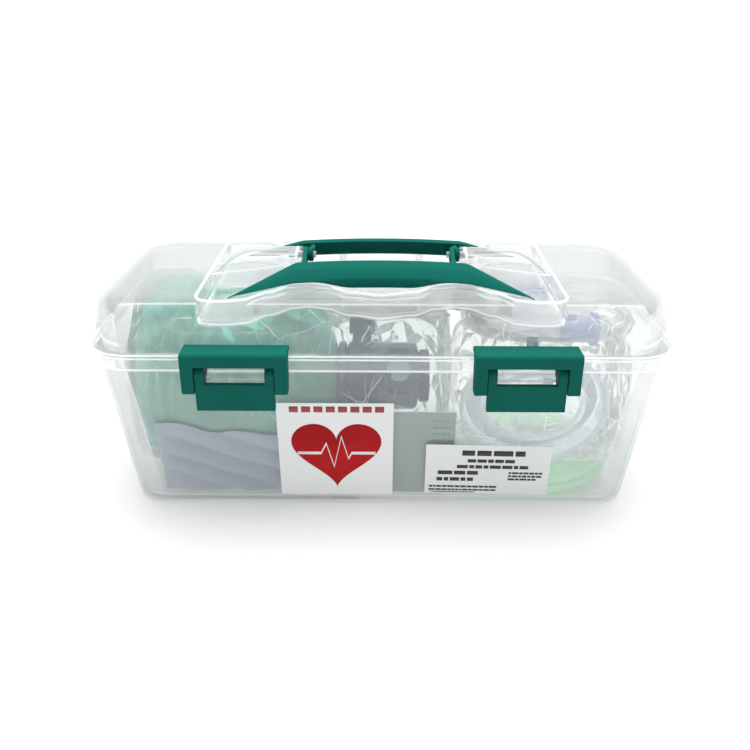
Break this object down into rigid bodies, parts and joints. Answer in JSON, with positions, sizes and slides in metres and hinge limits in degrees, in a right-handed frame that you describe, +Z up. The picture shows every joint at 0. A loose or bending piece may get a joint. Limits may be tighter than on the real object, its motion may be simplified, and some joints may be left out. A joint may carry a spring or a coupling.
{
  "type": "bag valve mask",
  "caption": "Bag valve mask resuscitator kit packed in a hinged clear case with green latches and a folding two-part handle.",
  "frame": {"origin": "under the middle of the case, on the surface that its base rests on", "axes": "+X along the case to the latch side's right, +Y to the rear hinge, +Z up"},
  "size_m": [0.3356, 0.1636, 0.1468],
  "materials": {
    "clear_case": "milky clear polypropylene, satin outside",
    "green_plastic": "glossy injection moulded green",
    "steel": "plain wire",
    "paper": "satin coated label",
    "teal_vinyl": "soft translucent PVC",
    "blue_grey_plastic": "moulded polycarbonate tinted blue-grey",
    "clear_plastic": "clear polycarbonate",
    "silicone": "matte silicone",
    "lilac_film": "thin folded film",
    "pale_blue_vinyl": "inflated soft vinyl",
    "blue_plastic": "moulded blue",
    "green_tubing": "soft clear green PVC tube"
  },
  "bodies": {
    "case": {"case_tray": "clear_case", "hinge_pin_left": "steel", "hinge_pin_right": "steel", "relief_valve_spring": "steel", "front_label_emblem": "paper", "front_label_data": "paper", "instruction_leaflet": "paper", "squeeze_bag": "teal_vinyl", "bag_neck_collar": "blue_grey_plastic", "valve_inlet_housing": "blue_grey_plastic", "exhalation_port_cap": "blue_grey_plastic", "relief_valve_cap": "blue_grey_plastic", "intake_valve_housing": "blue_grey_plastic", "reservoir_bag_collar": "blue_grey_plastic", "mask_hook_ring": "blue_grey_plastic", "mask_inflation_plug": "blue_grey_plastic", "valve_outlet_housing": "clear_plastic", "reservoir_connector": "clear_plastic", "oxygen_nipple": "clear_plastic", "mask_dome": "clear_plastic", "tube_connector_bag_end": "clear_plastic", "tube_connector_wall_end": "clear_plastic", "airway_large": "clear_plastic", "airway_small": "clear_plastic", "duckbill_valve": "silicone", "reservoir_bag": "lilac_film", "mask_cushion": "pale_blue_vinyl", "airway_large_bite_block": "blue_plastic", "airway_small_bite_block": "blue_plastic", "oxygen_tube_coil": "green_tubing"},
    "lid": {"lid": "clear_case", "handle_pin_left": "steel", "handle_pin_right": "steel"},
    "handle_front": {"handle_front": "green_plastic"},
    "handle_rear": {"handle_rear": "green_plastic"},
    "lever_left": {"latch_lever_left": "green_plastic"},
    "lever_right": {"latch_lever_right": "green_plastic"},
    "frame_left": {"latch_frame_left": "green_plastic"},
    "frame_right": {"latch_frame_right": "green_plastic"},
    "patient_port": {"patient_port": "blue_grey_plastic"},
    "relief_poppet": {"relief_valve_poppet": "silicone"},
    "exhalation_flap": {"exhalation_diaphragm": "silicone"},
    "intake_flap": {"intake_valve_disc": "silicone"},
    "reservoir_inlet_flap": {"reservoir_inlet_disc": "silicone"},
    "reservoir_relief_flap": {"reservoir_relief_disc": "silicone"}
  },
  "joints": [
    {"name": "lid_hinge", "type": "hinge", "parent": "case", "child": "lid", "pos_m": [0, 0.0758, 0.10435], "axis": [-1, 0, 0], "range_deg": [0, 105]},
    {"name": "handle_front_fold", "type": "hinge", "parent": "lid", "child": "handle_front", "pos_m": [0, 0, 0.142], "axis": [-1, 0, 0], "range_deg": [0, 80]},
    {"name": "handle_rear_fold", "type": "hinge", "parent": "lid", "child": "handle_rear", "pos_m": [0, 0, 0.142], "axis": [1, 0, 0], "range_deg": [0, 80]},
    {"name": "latch_left_lever", "type": "hinge", "parent": "case", "child": "lever_left", "pos_m": [-0.079, -0.0783, 0.0982], "axis": [-1, 0, 0], "range_deg": [0, 100]},
    {"name": "latch_left_frame", "type": "hinge", "parent": "lever_left", "child": "frame_left", "pos_m": [-0.079, -0.0822, 0.0912], "axis": [1, 0, 0], "range_deg": [0, 116]},
    {"name": "latch_right_lever", "type": "hinge", "parent": "case", "child": "lever_right", "pos_m": [0.079, -0.0783, 0.0982], "axis": [-1, 0, 0], "range_deg": [0, 100]},
    {"name": "latch_right_frame", "type": "hinge", "parent": "lever_right", "child": "frame_right", "pos_m": [0.079, -0.0822, 0.0912], "axis": [1, 0, 0], "range_deg": [0, 116]},
    {"name": "patient_port_swivel", "type": "hinge", "parent": "case", "child": "patient_port", "pos_m": [0.011, -0.0203, 0.07295], "axis": [0, -0.866, 0.5], "continuous": true},
    {"name": "relief_valve_lift", "type": "slide", "parent": "case", "child": "relief_poppet", "axis": [0, 0.5, 0.866], "range_m": [0, 0.003], "stiffness_N_per_m": 300, "deforming": ["relief_valve_spring"]},
    {"name": "exhalation_flap_lift", "type": "slide", "parent": "case", "child": "exhalation_flap", "axis": [1, 0, 0], "range_m": [0, 0.001], "stiffness_N_per_m": 40},
    {"name": "intake_flap_lift", "type": "slide", "parent": "case", "child": "intake_flap", "axis": [1, 0, 0], "range_m": [0, 0.002], "stiffness_N_per_m": 30},
    {"name": "reservoir_inlet_lift", "type": "slide", "parent": "case", "child": "reservoir_inlet_flap", "axis": [1, 0, 0], "range_m": [0, 0.0015], "stiffness_N_per_m": 20},
    {"name": "reservoir_relief_lift", "type": "slide", "parent": "case", "child": "reservoir_relief_flap", "axis": [-1, 0, 0], "range_m": [0, 0.001], "stiffness_N_per_m": 20}
  ],
  "couplings": [
    {"joint": "latch_left_frame", "follows": "latch_left_lever", "ratio": 1.15},
    {"joint": "latch_right_frame", "follows": "latch_right_lever", "ratio": 1.15}
  ]
}
